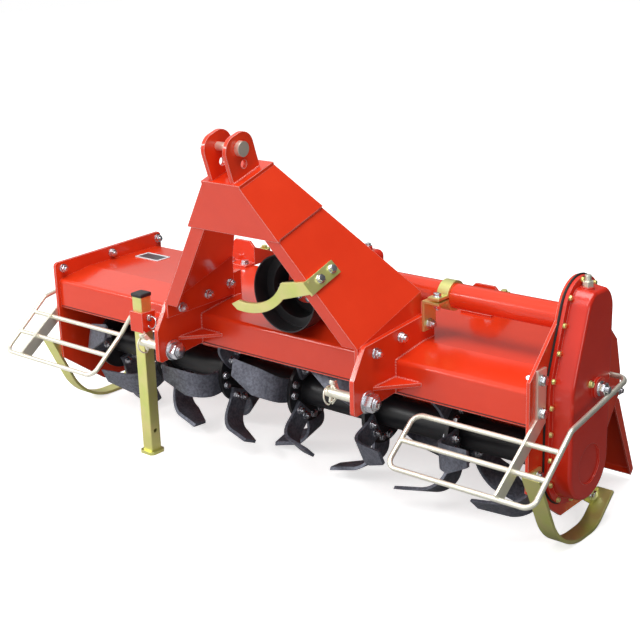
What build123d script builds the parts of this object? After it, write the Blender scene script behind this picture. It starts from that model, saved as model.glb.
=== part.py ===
from build123d import *
import math
import os

# A three-point rotary tiller with a side gear case, in millimetres.
# X runs across the machine towards the gear case, Y from the hitch to the back, Z up from the ground.
# The deck's front face is at Y = 0 and its middle at X = 0, until the last step centres the whole.

# Deck
deck_width = 1500
deck_depth = 380
deck_sheet = 5
lip_bottom = 309
lip_height = 79
deck_slope_depth = 110
deck_slope_rise = 16
apron_height = 107
deck_bend = 6

# Side plates
side_t = 8
side_front = -10
side_rear_margin = 8
side_rise_front = 48
side_rise_rear = 42
side_slope_inset = 22
side_hinge_cover = 40
side_front_low = 163
side_rear_low = 268
side_bottom = 58
side_heel_front = 132
side_heel_rear = 230
side_corner = 12

# Rotor
rotor_y = 150
rotor_z = 190
rotor_radius = 182
rotor_tube_r = 39
stub_r = 25
flange_r = 84
flange_t = 10
flange_span = 3
rotor_end_gap = 42
rotor_offset = 25
flange_twist = -20
rotor_phase = 76
running_gap = 0.05
end_gap = 1
stub_hole_gap = 2

# Tines
tine_t = 8
tine_root_r = 48
tine_shank = 60
tine_elbow_r = 148
tine_bend = 52
tine_lift = 12
tine_reach = 112
tine_belly = 4
tine_lead_rim = -4
tine_trail_rim = 80
tine_lead_tip = 22
tine_trail_tip = 72
tine_stations = 6

# Gear case
shaft_y = 170
shaft_z = 503
case_low_r = 100
case_waist_z = 365
case_top_y = 178
case_top_z = 524
case_top_r = 74
gasket_t = 2
case_flange_t = 10
case_flange_w = 14
case_depth = 44
case_draft = 6
case_body_rise = 53
case_body_corner = 12
case_dimple_r = 46
case_dimple_depth = 4
case_edge = 8
idler_y = 172
idler_z = 359
idler_boss_r = 24
idler_boss_t = 7
plug_r = 7
plug_h = 25
plug_hex = 22
plug_hex_h = 12
plug_out = 25
plug_front = 8
plug_boss_r = 14
plug_boss_t = 2

# Drive tube and its clamp
tube_r = 29
clamp_offset = 31
clamp_w = 30
clamp_t = 6
clamp_gap = 0.2
clamp_slit = 5
clamp_ear = 34
clamp_strap_bottom = 428
clamp_strap_w = 46

# Gearbox and power take-off
hitch_x = 100
gearbox_half = 88
gearbox_front = 82
gearbox_depth = 180
gearbox_top = 554
gearbox_round = 16
gearbox_base_t = 14
gearbox_base_wider = 18
boss_r = 50
boss_length = 24
cover_plate = 140
cover_plate_t = 10
bearing_cap_r = 47
bearing_cap_t = 16
pto_journal_r = 20
pto_bore_depth = 44
pto_spline_r = 17.5
pto_root_r = 14.7
pto_spline_w = 8.6
pto_splines = 6
pto_shoulder = 4
pto_length = 72
shield_r = 94
shield_drop = 9
shield_t = 3
shield_length = 100
shield_step_r = 72
shield_step = 46

# Hitch plates and lower pins
hitch_half = 297
hitch_t = 12
hitch_top_front = (-109, 448)
hitch_nose = (-150, 380)
hitch_toe = (-150, 298)
hitch_under_lip = 312
hitch_rear = 150
hitch_top_rear = 468
hitch_corner = 10
gusset_x = 70
gusset_y = 82
gusset_t = 8
gusset_z = 341
lower_pin_y = -104
lower_pin_z = 322
lower_pin_r = 11
lower_pin_free = 100
lower_collar_r = 18
lower_collar_t = 8
lower_nut = 34
lower_nut_t = 20

# Mast
mast_t = 8
mast_foot_y = -120
mast_foot_z = 443
mast_rise = 17.5
mast_web_bottom = 246
mast_web_top = 111
mast_top_half = 50
mast_top_y = -202
mast_top_z = 783
mast_flange = 42
mast_leg_drop = 34
cap_t = 6
cap_reach = 140
cap_top_t = 8
ear_t = 10
ear_gap = 54
ear_width = 88
ear_height = 95
ear_round = 34
top_pin_r = 9.5
top_pin_height = 63
spare_hole_height = 26
top_pin_free = 24
top_pin_head_r = 17
top_pin_head_t = 12

# Drive shaft hook on the mast
hook_t = 6
hook_w = 34
hook_height = 168
hook_tail = 95
hook_lead = 8
hook_neck = (117, 134)
hook_throat = (62, 80)
hook_lip = (-29, 64)
hook_point = (-53, 51)
hook_chin = (-40, 38)
hook_belly = (40, 46)
hook_heel = (113, 93)

# Parking stand
stand_x = -342
stand_y = -66
stand_tube = 34
stand_wall = 3
stand_top = 435
stand_cap_t = 8
stand_foot = 50
stand_foot_t = 8
stand_foot_cut = 8
stand_hole_r = 6
stand_travel = 310
sleeve_wall = 5
sleeve_gap = 0.4
sleeve_bottom = 336
sleeve_height = 52
sleeve_arm_h = 26
sleeve_pin_drop = 15

# Guards
guard_r = 6
guard_reach = 84
guard_length = 362
guard_low = (-133, 200)
guard_high = (-25, 285)
guard_knee = (15, 319)
guard_back = (258, 360)
guard_bend = 24
guard_post_z = 336
guard_post_in = 24
guard_bar_t = 6
guard_bar_w = 34
guard_bar_y = 12
guard_bar_top = 432

# Skids
skid_w = 40
skid_t = 8
skid_gap = 2
skid_toe = (-37, 212)
skid_flat_front = 66
skid_flat_rear = 225
skid_heel = (300, 62)
skid_front_bend = 150
skid_rear_bend = 70
skid_tab = 44
skid_tab_t = 6
skid_tab_z = 178

# Left rotor bearing
bearing_r = 62
bearing_depth = 46
bearing_pad = 150
bearing_pad_t = 10

# Tailgate
hinge_inset = 8
hinge_drop = 17
hinge_r = 7
hinge_tube_r = 11
tailgate_side_gap = 6
tailgate_sheet = 4
tailgate_upper = 62
tailgate_upper_angle = 43
tailgate_lower = 226
tailgate_lower_angle = 66.7
tailgate_hem = 17
tailgate_hem_angle = 130
tailgate_bend = 5

# Tailgate rods and their brackets
rod_x = 400
rod_r = 8
rod_lug_along = 95
rod_lug_out = 30
rod_lug_r = 16
rod_lug_t = 8
rod_lug_offset = 22
rod_pin_length = 36
rod_guide_out = 84
rod_above = 8
rod_nut_r = 17
rod_nut_t = 12
rod_nut_gap = 8.5
bracket_half = 43
bracket_t = 6
bracket_slot = 46
bracket_slot_w = 19
bracket_foot = 46
bracket_overhang = 114
bracket_height = 66
bracket_cut = 16

# Derived places
lip_top = lip_bottom + lip_height
deck_top = lip_top + deck_slope_rise
deck_half = deck_width / 2
side_out = deck_half + side_t
side_rear = deck_depth + side_rear_margin
case_x = side_out + gasket_t
hook_low = hook_height - hook_w / 2
flange_pitch = (deck_half - rotor_end_gap) / flange_span
clamp_x = hitch_x + hitch_half + hitch_t + clamp_offset
guard_outer = side_out + guard_reach
guard_inner = guard_outer - guard_length
stand_pin_z = sleeve_bottom + sleeve_height - sleeve_pin_drop
hinge_y = deck_depth - hinge_inset
hinge_z = deck_top - apron_height - hinge_drop
rod_guide = (deck_depth + rod_guide_out, deck_top + bracket_t / 2)
shield_z = shaft_z - shield_drop
case_body_top = case_top_z + case_body_rise
plug_seat = (case_x + plug_out, case_top_y - plug_front, case_body_top + plug_boss_t)


# Turn a sketch drawn in (Y, Z) into a plate that starts at x_start
def across(sketch, x_start, thickness):
    return extrude(Plane.YZ.offset(x_start) * sketch, thickness)


def polygon(*points):
    return make_face(Polyline(*points, close=True))


# Round bar or disc along X
def bar_x(y, z, radius, x_start, x_end):
    disc = Pos(y, z) * Circle(radius)
    return across(disc, x_start, x_end - x_start)


# Round bar or disc along Y
def bar_y(x, z, radius, y_start, y_end):
    return Pos(x, (y_start + y_end) / 2, z) * Rot(90, 0, 0) * Cylinder(radius, y_end - y_start)


def box(x_range, y_range, z_range):
    size = [b - a for a, b in (x_range, y_range, z_range)]
    middle = [(a + b) / 2 for a, b in (x_range, y_range, z_range)]
    return Pos(*middle) * Box(*size)


def heading(start, end):
    length = math.dist(start, end)
    return ((end[0] - start[0]) / length, (end[1] - start[1]) / length)


# Section of a bent sheet: a path, thickened to its right, with a round bend at each inner point
def bent_sheet(path, thickness, bends):
    runs = [heading(a, b) for a, b in zip(path, path[1:])]
    sides = [(dz, -dy) for dy, dz in runs]
    joins = zip([sides[0]] + sides, sides + [sides[-1]], path)
    back = []
    for (ay, az), (by, bz), (y, z) in joins:
        scale = thickness / (1 + ay * by + az * bz)
        back.append((y + (ay + by) * scale, z + (az + bz) * scale))
    section = polygon(*path, *reversed(back))
    corners = list(zip(path, back))[1:-1]
    for (near, far), before, after, bend in zip(corners, runs, runs[1:], bends):
        turns_right = before[0] * after[1] - before[1] * after[0] < 0
        near_r = bend + thickness if turns_right else bend
        far_r = bend if turns_right else bend + thickness
        section = fillet(section.vertices().sort_by_distance(near)[0], near_r)
        section = fillet(section.vertices().sort_by_distance(far)[0], far_r)
    return section


# Round rod bent along a path of points
def bent_rod(points, radius, bend):
    path = FilletPolyline(*points, radius=bend)
    return sweep(Plane(path @ 0, z_dir=path % 0) * Circle(radius), path=path)


def mirror_middle(solid, x_middle):
    return mirror(solid, about=Plane.YZ.offset(x_middle))


def make_deck():
    path = [(0, lip_bottom), (0, lip_top), (deck_slope_depth, deck_top), (deck_depth, deck_top)]
    path.append((deck_depth, deck_top - apron_height))
    return across(bent_sheet(path, deck_sheet, [deck_bend] * 3), -deck_half, deck_width)


def side_lower_points():
    heel = [(side_rear, side_rear_low), (side_heel_rear, side_bottom)]
    return heel + [(side_heel_front, side_bottom), (side_front, side_front_low)]


def hinge_hole():
    return Pos(hinge_y, hinge_z) * Circle(hinge_r)


def make_side_plate_left():
    top = [(side_front, lip_top + side_rise_front), (side_rear, deck_top + side_rise_rear)]
    outline = polygon(*top, *side_lower_points())
    outline = fillet(outline.vertices(), side_corner)
    outline -= hinge_hole() + Pos(rotor_y, rotor_z) * Circle(stub_r + stub_hole_gap)
    return across(outline, -side_out, side_t)


def case_outline():
    circles = [Pos(rotor_y, rotor_z) * Circle(case_low_r), Pos(rotor_y, case_waist_z) * Circle(case_low_r)]
    circles.append(Pos(case_top_y, case_top_z) * Circle(case_top_r))
    return make_hull([edge for circle in circles for edge in circle.edges()])


def make_side_plate_right():
    front = (side_front, lip_top + side_rise_front / 2)
    shoulder_front = (case_top_y - case_top_r, case_top_z)
    shoulder_rear = (case_top_y + case_top_r, case_top_z)
    slope_end = (side_rear - side_slope_inset, deck_top)
    rear = (side_rear, hinge_z + side_hinge_cover)
    outline = polygon(front, shoulder_front, shoulder_rear, slope_end, rear, *side_lower_points())
    outline = outline + case_outline()
    outline -= hinge_hole() + Pos(rotor_y, rotor_z) * Circle(stub_r + running_gap)
    return across(outline, deck_half, side_t)


def make_case_gasket():
    return across(case_outline(), side_out, gasket_t)


# The raised body's outline: the flange's, drawn in and cut flat at the top
def case_body_outline():
    inner = offset(case_outline(), -case_flange_w)
    inner -= Pos(case_top_y, case_body_top + case_top_r) * Rectangle(2 * case_top_r, 2 * case_top_r)
    return fillet(inner.vertices().group_by(Axis.Y)[-1], case_body_corner)


def make_gear_case():
    flange = across(case_outline(), case_x, case_flange_t)
    base_x = case_x + case_flange_t
    face_x = base_x + case_depth
    body = extrude(Plane.YZ.offset(base_x) * case_body_outline(), case_depth, taper=case_draft)
    body = fillet(body.faces().sort_by(Axis.X)[-1].edges(), case_edge)
    cover = flange + body
    cover += bar_x(idler_y, idler_z, idler_boss_r, face_x - case_edge, face_x + idler_boss_t)
    cover += extrude(Plane(plug_seat) * Circle(plug_boss_r), -plug_boss_r)
    return cover - bar_x(rotor_y, rotor_z, case_dimple_r, face_x - case_dimple_depth, face_x + case_edge)


# Breather on the case's boss: a hexagon with a stem
def make_case_plug():
    seat = Plane(plug_seat)
    hexagon = extrude(seat * RegularPolygon(plug_hex / 2, 6, major_radius=False), plug_hex_h)
    return hexagon + extrude(seat * Circle(plug_r), plug_h)


def make_drive_tube():
    return bar_x(shaft_y, shaft_z, tube_r, hitch_x + gearbox_half, deck_half)


# Split band round the drive tube, with two ears and a strap to the hitch plate's outer face
def make_tube_clamp():
    outer = tube_r + clamp_gap + clamp_t
    band_x = (clamp_x - clamp_w / 2, clamp_x + clamp_w / 2)
    band = bar_x(shaft_y, shaft_z, outer, *band_x)
    front = shaft_y - outer - clamp_ear
    plate_face = hitch_x + hitch_half + hitch_t
    slit_low = shaft_z - clamp_slit / 2
    slit_high = shaft_z + clamp_slit / 2
    upper_ear = box(band_x, (front, shaft_y), (slit_high, slit_high + clamp_t))
    lower_ear = box((plate_face, band_x[1]), (front, shaft_y), (slit_low - clamp_t, slit_low))
    strap_x = (plate_face, plate_face + clamp_t)
    strap = box(strap_x, (front, front + clamp_strap_w), (clamp_strap_bottom, slit_low))
    slit = box(band_x, (front, shaft_y), (slit_low, slit_high))
    bore = bar_x(shaft_y, shaft_z, tube_r + clamp_gap, plate_face, band_x[1])
    return band + upper_ear + lower_ear + strap - slit - bore


def make_gearbox():
    x_range = (hitch_x - gearbox_half, hitch_x + gearbox_half)
    y_range = (gearbox_front, gearbox_front + gearbox_depth)
    body = fillet(box(x_range, y_range, (deck_top, gearbox_top)).edges(), gearbox_round)
    wide_x = (x_range[0] - gearbox_base_wider, x_range[1])
    base_y = (deck_slope_depth, y_range[1] + gearbox_base_wider)
    base = box(wide_x, base_y, (deck_top, deck_top + gearbox_base_t))
    boss = bar_y(hitch_x, shaft_z, boss_r, gearbox_front - boss_length, gearbox_front + gearbox_round)
    ring = bar_x(shaft_y, shaft_z, bearing_cap_r, x_range[1] - gearbox_round, x_range[1])
    bore_end = gearbox_front - boss_length + pto_bore_depth
    bore = bar_y(hitch_x, shaft_z, pto_journal_r + running_gap, gearbox_front - 2 * boss_length, bore_end)
    return body + base + boss + ring - bore


def make_gearbox_cover():
    half = cover_plate / 2
    middle_y = gearbox_front + gearbox_depth / 2
    x_range = (hitch_x - half, hitch_x + half)
    plate = box(x_range, (middle_y - half, middle_y + half), (gearbox_top, gearbox_top + cover_plate_t))
    return fillet(plate.edges().filter_by(Axis.Z), gearbox_round)


def make_bearing_cap():
    x_end = hitch_x - gearbox_half
    return bar_x(shaft_y, shaft_z, bearing_cap_r, x_end - bearing_cap_t, x_end)


def make_pto_shield():
    back_y = gearbox_front
    front_y = back_y - shield_length
    step_y = front_y + shield_step
    can = bar_y(hitch_x, shield_z, shield_r, front_y, step_y)
    can += bar_y(hitch_x, shield_z, shield_step_r, front_y, back_y)
    can -= bar_y(hitch_x, shield_z, shield_r - shield_t, front_y - shield_t, step_y - shield_t)
    can -= bar_y(hitch_x, shield_z, shield_step_r - shield_t, front_y, back_y - shield_t)
    return can - bar_y(hitch_x, shaft_z, boss_r, front_y, back_y + shield_t)


def make_pto_shaft():
    boss_front = gearbox_front - boss_length
    shoulder = boss_front - pto_shoulder
    journal = bar_y(hitch_x, shaft_z, pto_journal_r, shoulder, boss_front + pto_bore_depth - end_gap)
    spline = Circle(pto_root_r)
    tooth = Pos(pto_spline_r / 2, 0) * Rectangle(pto_spline_r, pto_spline_w)
    for k in range(pto_splines):
        spline += Rot(0, 0, 360 * k / pto_splines) * tooth
    spline = spline & Circle(pto_spline_r)
    start = Plane((hitch_x, shoulder, shaft_z), x_dir=(1, 0, 0), z_dir=(0, -1, 0))
    return journal + extrude(start * spline, pto_length)


def make_hitch_plate(x_start):
    notch = [(0, hitch_under_lip), (0, lip_top), (deck_slope_depth, deck_top), (hitch_rear, deck_top)]
    top = [(hitch_rear, hitch_top_rear), hitch_top_front, hitch_nose, hitch_toe]
    outline = polygon(*notch, *top)
    for point in (hitch_top_front, hitch_nose, hitch_toe):
        outline = fillet(outline.vertices().sort_by_distance(point)[0], hitch_corner)
    outline -= Pos(lower_pin_y, lower_pin_z) * Circle(lower_pin_r)
    plate = across(outline, x_start, hitch_t)
    face = x_start + hitch_t
    corner = Plane.XY.offset(gusset_z) * polygon((face, 0), (face, -gusset_y), (face + gusset_x, 0))
    return plate + extrude(corner, gusset_t)


def make_lower_pin(x_start):
    pin = bar_x(lower_pin_y, lower_pin_z, lower_pin_r, x_start - lower_pin_free, x_start + hitch_t)
    pin += bar_x(lower_pin_y, lower_pin_z, lower_collar_r, x_start - lower_collar_t, x_start)
    hexagon = Pos(lower_pin_y, lower_pin_z) * RegularPolygon(lower_nut / 2, 6, major_radius=False)
    return pin + across(hexagon, x_start + hitch_t, lower_nut_t)


# Planes of the mast: the outer face of its right web, its front face and its top
mast_along = Vector(0, math.cos(math.radians(mast_rise)), math.sin(math.radians(mast_rise)))
mast_foot = Vector(hitch_x + hitch_half, mast_foot_y, mast_foot_z)
mast_top = Vector(hitch_x + mast_top_half, mast_top_y, mast_top_z)
mast_edge = mast_top - mast_foot
mast_up = mast_edge - mast_along * (mast_edge.dot(mast_along))
mast_height = mast_up.length
mast_web_lead = mast_edge.dot(mast_along)
web_plane = Plane(mast_foot, x_dir=mast_along, z_dir=mast_along.cross(mast_up))
front_up = Vector(0, mast_edge.Y, mast_edge.Z)
front_length = front_up.length
to_right = Vector(1, 0, 0)
front_plane = Plane((hitch_x, mast_foot_y, mast_foot_z), x_dir=to_right, z_dir=to_right.cross(front_up))
top_plane = Plane((hitch_x, mast_top_y, mast_top_z), x_dir=to_right, z_dir=to_right.cross(mast_along))


# Half width of the mast's front at a height along its lean
def front_half(height):
    return hitch_half + (mast_top_half - hitch_half) * height / front_length


# Front and rear limits of the web at a height along its own slope
def web_front(height):
    return mast_web_lead * height / mast_height


def web_rear(height):
    end = mast_web_lead + mast_web_top
    return mast_web_bottom + (end - mast_web_bottom) * height / mast_height


def make_mast_leg_right():
    web_top = [(web_rear(mast_height), mast_height), (mast_web_lead, mast_height)]
    web = extrude(web_plane * polygon((0, 0), (mast_web_bottom, 0), *web_top), -mast_t)
    edge = [(hitch_half, 0), (mast_top_half, front_length)]
    inner = [(mast_top_half - mast_flange, front_length), (hitch_half - mast_flange, 0)]
    flange = extrude(front_plane * polygon(*edge, *inner), -mast_t)
    rear = mast_foot + mast_along * mast_web_bottom
    foot_points = [(mast_foot_y, mast_foot_z), (rear.Y, rear.Z), (rear.Y, deck_top + mast_t)]
    foot_points.append((mast_foot_y, mast_foot_z - mast_leg_drop))
    foot = across(polygon(*foot_points), mast_foot.X - mast_t, mast_t)
    return web + flange + foot


def make_mast_cap():
    low = mast_height - cap_reach
    front_low = front_length * low / mast_height
    side_shift = cap_t / web_plane.z_dir.X
    wide = [(front_half(h) + side_shift, h) for h in (front_low, front_length)]
    narrow = [(-w, h) for w, h in reversed(wide)]
    front = extrude(front_plane * polygon(*wide, *narrow), cap_t)
    rear_points = [(web_rear(low), low), (web_rear(mast_height), mast_height)]
    front_points = [(web_front(mast_height) - cap_t, mast_height), (web_front(low) - cap_t, low)]
    right = extrude(web_plane * polygon(*rear_points, *front_points), cap_t)
    half = mast_top_half + side_shift
    lid_outline = polygon((-half, -cap_t), (half, -cap_t), (half, mast_web_top), (-half, mast_web_top))
    lid = extrude(top_plane * lid_outline, cap_top_t)
    return front + right + mirror_middle(right, hitch_x) + lid


# Plane of an ear: along the mast's top, with its height square to it
def ear_plane(x_start):
    base = top_plane.origin + top_plane.z_dir * cap_top_t
    return Plane((x_start, base.Y, base.Z), x_dir=mast_along, z_dir=(1, 0, 0))


def make_ear(x_start):
    outline = polygon((0, 0), (ear_width, 0), (ear_width, ear_height), (0, ear_height))
    for corner in ((ear_width, ear_height), (0, ear_height)):
        outline = fillet(outline.vertices().sort_by_distance(corner)[0], ear_round)
    for height in (top_pin_height, spare_hole_height):
        outline -= Pos(ear_width / 2, height) * Circle(top_pin_r)
    return extrude(ear_plane(x_start) * outline, ear_t)


def make_top_pin():
    start = hitch_x - ear_gap / 2 - ear_t - top_pin_free
    end = hitch_x + ear_gap / 2 + ear_t
    place = Pos(ear_width / 2, top_pin_height)
    pin = extrude(ear_plane(start) * (place * Circle(top_pin_r)), end - start)
    return pin + extrude(ear_plane(end) * (place * Circle(top_pin_head_r)), top_pin_head_t)


def make_pto_hook():
    edge_half = front_half(hook_height * front_length / mast_height) + hook_t / web_plane.z_dir.X
    tail_points = [(-hook_t, hook_low), (hook_tail, hook_low), (hook_tail, hook_low + hook_w)]
    tail = extrude(web_plane * polygon(*tail_points, (-hook_t, hook_low + hook_w)), hook_t)
    low = hook_low * front_length / mast_height
    high = (hook_low + hook_w) * front_length / mast_height
    upper = Line((edge_half - hook_lead, high), hook_neck)
    inner = ThreePointArc(hook_neck, hook_throat, hook_lip)
    tip = Polyline(hook_lip, hook_point, hook_chin)
    outer = ThreePointArc(hook_chin, hook_belly, hook_heel)
    lower = Polyline(hook_heel, (edge_half, low), (edge_half - hook_lead, high))
    blade = make_face(Curve() + upper + inner + tip + outer + lower)
    return tail + extrude(front_plane * blade, hook_t)


def make_stand_sleeve():
    half = stand_tube / 2 + sleeve_gap
    ring = Rectangle(2 * (half + sleeve_wall), 2 * (half + sleeve_wall))
    ring -= Rectangle(2 * half, 2 * half)
    sleeve = extrude(Plane.XY.offset(sleeve_bottom) * (Pos(stand_x, stand_y) * ring), sleeve_height)
    arm_x = (stand_x - half, stand_x + half)
    arm_z = (sleeve_bottom, sleeve_bottom + sleeve_arm_h)
    arm = box(arm_x, (stand_y + half + sleeve_wall / 2, 0), arm_z)
    return sleeve + arm - stand_hole(stand_pin_z)


# Cross hole for the stand's locking pin
def stand_hole(height):
    return bar_x(stand_y, height, stand_hole_r, stand_x - stand_tube, stand_x + stand_tube)


def make_stand_leg():
    tube = Rectangle(stand_tube, stand_tube)
    tube = fillet(tube.vertices(), stand_wall)
    tube -= Rectangle(stand_tube - 2 * stand_wall, stand_tube - 2 * stand_wall)
    length = stand_top - stand_cap_t - stand_foot_t
    leg = extrude(Plane.XY.offset(stand_foot_t) * (Pos(stand_x, stand_y) * tube), length)
    return leg - stand_hole(stand_pin_z) - stand_hole(stand_pin_z - stand_travel)


def make_stand_foot():
    plate = chamfer(Rectangle(stand_foot, stand_foot).vertices(), stand_foot_cut)
    return extrude(Pos(stand_x, stand_y) * plate, stand_foot_t)


def make_stand_cap():
    cap = fillet(Rectangle(stand_tube, stand_tube).vertices(), stand_wall)
    return extrude(Plane.XY.offset(stand_top - stand_cap_t) * (Pos(stand_x, stand_y) * cap), stand_cap_t)


# Guard at the right end, with its inner end closed or carried up to the lip as a post
def make_guard(post):
    mid = ((guard_low[0] + guard_high[0]) / 2, (guard_low[1] + guard_high[1]) / 2)
    loop = [(side_out, *guard_back), (guard_outer, *guard_back), (guard_outer, *guard_knee)]
    loop += [(guard_outer, *guard_low), (guard_inner, *guard_low), (guard_inner, *guard_high)]
    rail = bar_x(*mid, guard_r, guard_inner, guard_outer)
    if post:
        loop.append((guard_inner - guard_post_in, -guard_r, guard_post_z))
        rail += bar_x(*guard_high, guard_r, guard_inner, guard_outer)
    else:
        loop.append((guard_outer, *guard_high))
    frame = bent_rod(loop, guard_r, guard_bend)
    slope = heading(guard_high, guard_low)
    side = (slope[1] * guard_bar_w / -2, slope[0] * guard_bar_w / 2)
    bar_low = [(guard_low[0] + way * side[0], guard_low[1] + way * side[1]) for way in (1, -1)]
    bar_rear = guard_bar_y + guard_bar_w
    bar_points = [*bar_low, (guard_bar_y, lip_bottom + guard_bar_w / 2), (guard_bar_y, guard_bar_top)]
    bar_points += [(bar_rear, guard_bar_top), (bar_rear, lip_bottom)]
    bar = across(polygon(*bar_points), side_out, guard_bar_t)
    return frame + rail + bar


def make_skid_right():
    path = [skid_toe, (skid_flat_front, 0), (skid_flat_rear, 0), skid_heel]
    x_start = side_out + skid_gap
    section = bent_sheet([(y, z) for y, z in reversed(path)], skid_t, [skid_rear_bend, skid_front_bend])
    runner = across(section, x_start, skid_w)
    front_run = heading((skid_flat_front, 0), skid_toe)
    toe_low = (skid_toe[0] - front_run[0] * skid_tab, skid_toe[1] - front_run[1] * skid_tab)
    tab_rear = skid_tab + side_front
    front_tab = polygon(skid_toe, toe_low, (tab_rear, skid_tab_z), (tab_rear, skid_toe[1]))
    rear_run = heading((skid_flat_rear, 0), skid_heel)
    heel_low = (skid_heel[0] - rear_run[0] * skid_tab, skid_heel[1] - rear_run[1] * skid_tab)
    tab_top = (side_heel_rear, skid_heel[1] + skid_tab)
    rear_tab = polygon(skid_heel, heel_low, (side_heel_rear, side_bottom), tab_top)
    tabs = across(front_tab + rear_tab, side_out, skid_tab_t)
    return runner + tabs


def make_rotor_bearing():
    pad = fillet(Rectangle(bearing_pad, bearing_pad).vertices(), side_corner)
    x_end = -side_out
    plate = across(Pos(rotor_y, rotor_z) * pad, x_end - bearing_pad_t, bearing_pad_t)
    housing = bar_x(rotor_y, rotor_z, bearing_r, x_end - bearing_depth, x_end)
    bore = bar_x(rotor_y, rotor_z, stub_r + running_gap, x_end - bearing_depth + bearing_pad_t, x_end)
    return plate + fillet(housing.edges().sort_by(Axis.X)[0], side_corner) - bore


def flange_places():
    return [rotor_offset + k * flange_pitch for k in range(-flange_span, flange_span + 1)]


def make_rotor_shaft():
    places = flange_places()
    shaft = bar_x(rotor_y, rotor_z, rotor_tube_r, places[0], places[-1])
    for x in places:
        shaft += bar_x(rotor_y, rotor_z, flange_r, x - flange_t / 2, x + flange_t / 2)
    left_end = -side_out - bearing_depth + bearing_pad_t + end_gap
    shaft += bar_x(rotor_y, rotor_z, stub_r, left_end, places[0])
    return shaft + bar_x(rotor_y, rotor_z, stub_r, places[-1], side_out - end_gap)


# One right-hand tine, standing up from the axis along Z, with its blade bent towards +X and swept towards +Y
def make_tine():
    half = tine_shank / 2
    tip_z = tine_elbow_r + tine_reach * math.tan(math.radians(tine_lift))
    path = [(0, tine_root_r), (0, tine_elbow_r), (tine_reach, tip_z)]
    bent = extrude(Plane.XZ * bent_sheet(path, tine_t, [tine_bend]), rotor_radius, both=True)
    rim = rotor_radius + tine_t
    middle = (tine_root_r + rim) / 2
    lead = ThreePointArc((-half, tine_root_r), (-half, middle), (tine_lead_rim, rim))
    top = Line((tine_lead_rim, rim), (tine_trail_rim, rim))
    trail = ThreePointArc((tine_trail_rim, rim), (half + tine_belly, middle), (half, tine_root_r))
    root = Line((half, tine_root_r), (-half, tine_root_r))
    side = across(make_face(Curve() + lead + top + trail + root), -tine_t, tine_reach + 2 * tine_t)
    end = tine_reach + tine_t
    edge = -half - tine_belly
    lead_points = [(-tine_t, edge), (tine_bend / 2, edge), (end, tine_lead_tip)]
    plan = polygon(*lead_points, (end, tine_trail_tip), (-tine_t, tine_trail_rim))
    trim = bar_x(0, 0, rotor_radius, -tine_t, end)
    return bent & side & extrude(plan, rim) & trim


def make_tines(hand):
    tine = make_tine()
    if hand < 0:
        tine = mirror(tine, about=Plane.YZ)
    placed = []
    for index, x in enumerate(flange_places()):
        outward_end = index == (2 * flange_span if hand > 0 else 0)
        if outward_end:
            continue
        for station in range(0, tine_stations, 2):
            slot = station if hand > 0 else station + 1
            angle = rotor_phase + slot * 360 / tine_stations + index * flange_twist
            place = Pos(x + hand * flange_t / 2, rotor_y, rotor_z) * Rot(angle, 0, 0)
            placed.append(place * tine)
    return placed


# Points of the tailgate's outer face, from its hinge to its hem
def tailgate_path():
    turns = (tailgate_upper_angle, tailgate_lower_angle, tailgate_hem_angle)
    lengths = (tailgate_upper, tailgate_lower, tailgate_hem)
    points = [(hinge_y, hinge_z)]
    for angle, length in zip(turns, lengths):
        y, z = points[-1]
        turn = math.radians(angle)
        points.append((y + length * math.cos(turn), z - length * math.sin(turn)))
    return points


# Pin that joins a rod to the tailgate, behind its lower panel
def rod_pin_place():
    kink = tailgate_path()[1]
    angle = math.radians(tailgate_lower_angle)
    y = kink[0] + rod_lug_along * math.cos(angle) + rod_lug_out * math.sin(angle)
    z = kink[1] - rod_lug_along * math.sin(angle) + rod_lug_out * math.cos(angle)
    return y, z


def make_tailgate():
    half = deck_half - tailgate_side_gap
    path = tailgate_path()
    board = across(bent_sheet(path, tailgate_sheet, [tailgate_bend] * 2), -half, 2 * half)
    end = polygon(*path)
    gate = board + across(end, -half, tailgate_sheet) + across(end, half - tailgate_sheet, tailgate_sheet)
    gate += bar_x(hinge_y, hinge_z, hinge_tube_r, -half, half)
    pin = rod_pin_place()
    angle = math.radians(tailgate_lower_angle)
    run = (math.cos(angle) * rod_lug_r, -math.sin(angle) * rod_lug_r)
    root = (pin[0] - rod_lug_out * math.sin(angle), pin[1] - rod_lug_out * math.cos(angle))
    lug = polygon((pin[0] - run[0], pin[1] - run[1]), (pin[0] + run[0], pin[1] + run[1]),
                  (root[0] + 2 * run[0], root[1] + 2 * run[1]), (root[0] - 2 * run[0], root[1] - 2 * run[1]))
    lug += Pos(*pin) * Circle(rod_lug_r)
    lug -= Pos(*pin) * Circle(rod_r + running_gap)
    for x in (-rod_x, rod_x):
        gate += across(lug, x - rod_lug_offset - rod_lug_t / 2, rod_lug_t)
    return gate - bar_x(hinge_y, hinge_z, hinge_r + running_gap, -half, half)


def make_hinge_rod():
    return bar_x(hinge_y, hinge_z, hinge_r, -side_out, side_out)


def make_rod(x):
    pin = rod_pin_place()
    lean = heading(pin, rod_guide)
    length = math.dist(pin, rod_guide) + rod_nut_gap + rod_nut_t + rod_above
    foot = Plane((x, *pin), x_dir=(1, 0, 0), z_dir=(0, *lean))
    stem = extrude(foot * Circle(rod_r), length)
    nut_at = math.dist(pin, rod_guide) + rod_nut_gap
    stem += extrude(foot.offset(nut_at) * RegularPolygon(rod_nut_r, 6), rod_nut_t)
    stem += Pos(x, *pin) * Sphere(rod_r)
    return stem + bar_x(*pin, rod_r, x - rod_pin_length, x)


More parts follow.
